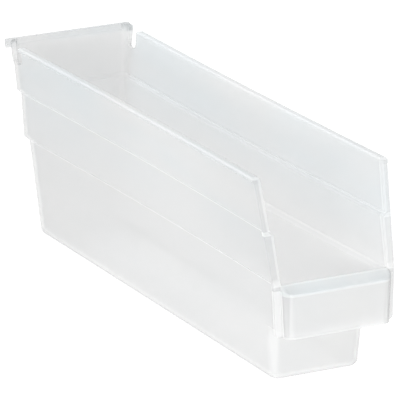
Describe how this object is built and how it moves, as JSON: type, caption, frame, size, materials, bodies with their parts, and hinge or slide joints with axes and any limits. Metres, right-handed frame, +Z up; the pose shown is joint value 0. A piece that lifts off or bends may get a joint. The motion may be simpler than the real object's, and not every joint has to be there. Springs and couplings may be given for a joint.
{
  "type": "shelf bin",
  "caption": "Long narrow shelf bin in milky clear plastic: drafted stepped tub with a sloped hopper mouth, front label panel and rear hang lip.",
  "frame": {"origin": "on the ground under the middle of the overall length and width", "axes": "+Z up, the hopper mouth and label panel face -Y, +Y towards the hang lip, X across the width"},
  "size_m": [0.0698, 0.2953, 0.1012],
  "materials": {
    "milky_polypropylene": "milky translucent, satin gloss"
  },
  "bodies": {
    "root": {"bin_shell": "milky_polypropylene"}
  },
  "joints": []
}
